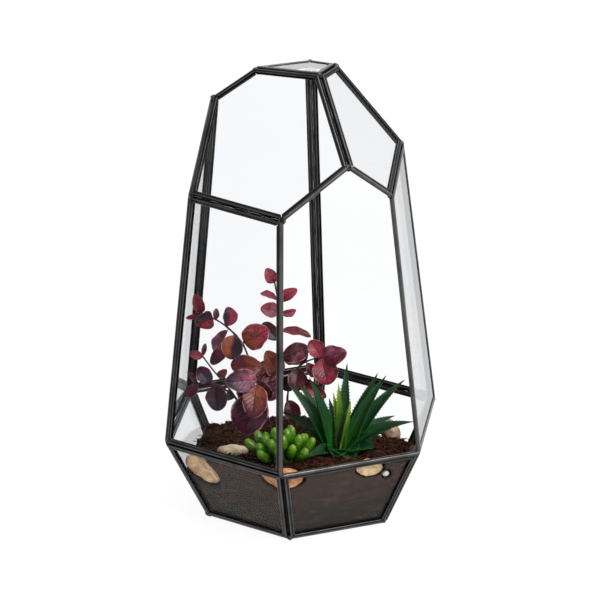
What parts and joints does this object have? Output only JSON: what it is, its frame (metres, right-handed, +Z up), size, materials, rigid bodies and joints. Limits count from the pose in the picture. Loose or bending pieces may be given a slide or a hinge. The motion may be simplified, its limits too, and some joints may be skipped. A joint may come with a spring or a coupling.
{
  "type": "planted glass terrarium",
  "caption": "Geometric glass terrarium in black metal channel on a hexagonal base, open at the front, planted with eucalyptus sprays, an aloe and a succulent in soil with pebbles.",
  "frame": {"origin": "middle of the underside, on the surface that the terrarium stands on", "axes": "+Z up, -Y out of the open face, X along that face"},
  "size_m": [0.2232, 0.1943, 0.3349],
  "materials": {
    "glass": "polished",
    "frame_metal": "satin",
    "soil": "matte",
    "stone_beige": "matte",
    "stone_pale": "matte",
    "stone_tan": "matte",
    "stone_cream": "matte",
    "stone_white": "matte",
    "stone_brown": "matte",
    "aloe_leaf": "satin",
    "aloe_young_leaf": "satin",
    "succulent_leaf": "satin",
    "eucalyptus_leaf": "matte"
  },
  "bodies": {
    "root": {"pane_right": "glass", "pane_back_right": "glass", "pane_back_left": "glass", "pane_left": "glass", "pane_front_left": "glass", "pane_roof_left": "glass", "pane_roof_right": "glass", "pane_top": "glass", "pane_base": "glass", "pane_lower_front_right": "glass", "pane_lower_right": "glass", "pane_lower_back_right": "glass", "pane_lower_back_left": "glass", "pane_lower_left": "glass", "pane_lower_front_left": "glass", "frame_right": "frame_metal", "frame_back_right": "frame_metal", "frame_back_left": "frame_metal", "frame_left": "frame_metal", "frame_front_left": "frame_metal", "frame_roof_left": "frame_metal", "frame_roof_right": "frame_metal", "frame_top": "frame_metal", "frame_base": "frame_metal", "frame_lower_front_right": "frame_metal", "frame_lower_right": "frame_metal", "frame_lower_back_right": "frame_metal", "frame_lower_back_left": "frame_metal", "frame_lower_left": "frame_metal", "frame_lower_front_left": "frame_metal", "soil": "soil", "pebble_beige": "stone_beige", "pebble_pale": "stone_pale", "pebble_tan": "stone_tan", "pebble_cream": "stone_cream", "pebble_white": "stone_white", "pebble_brown": "stone_brown", "aloe_rosette": "aloe_leaf", "aloe_young_leaves": "aloe_young_leaf", "finger_succulent": "succulent_leaf", "eucalyptus_tall": "eucalyptus_leaf", "eucalyptus_upper_left": "eucalyptus_leaf", "eucalyptus_left": "eucalyptus_leaf", "eucalyptus_front": "eucalyptus_leaf", "eucalyptus_right": "eucalyptus_leaf"}
  },
  "joints": []
}
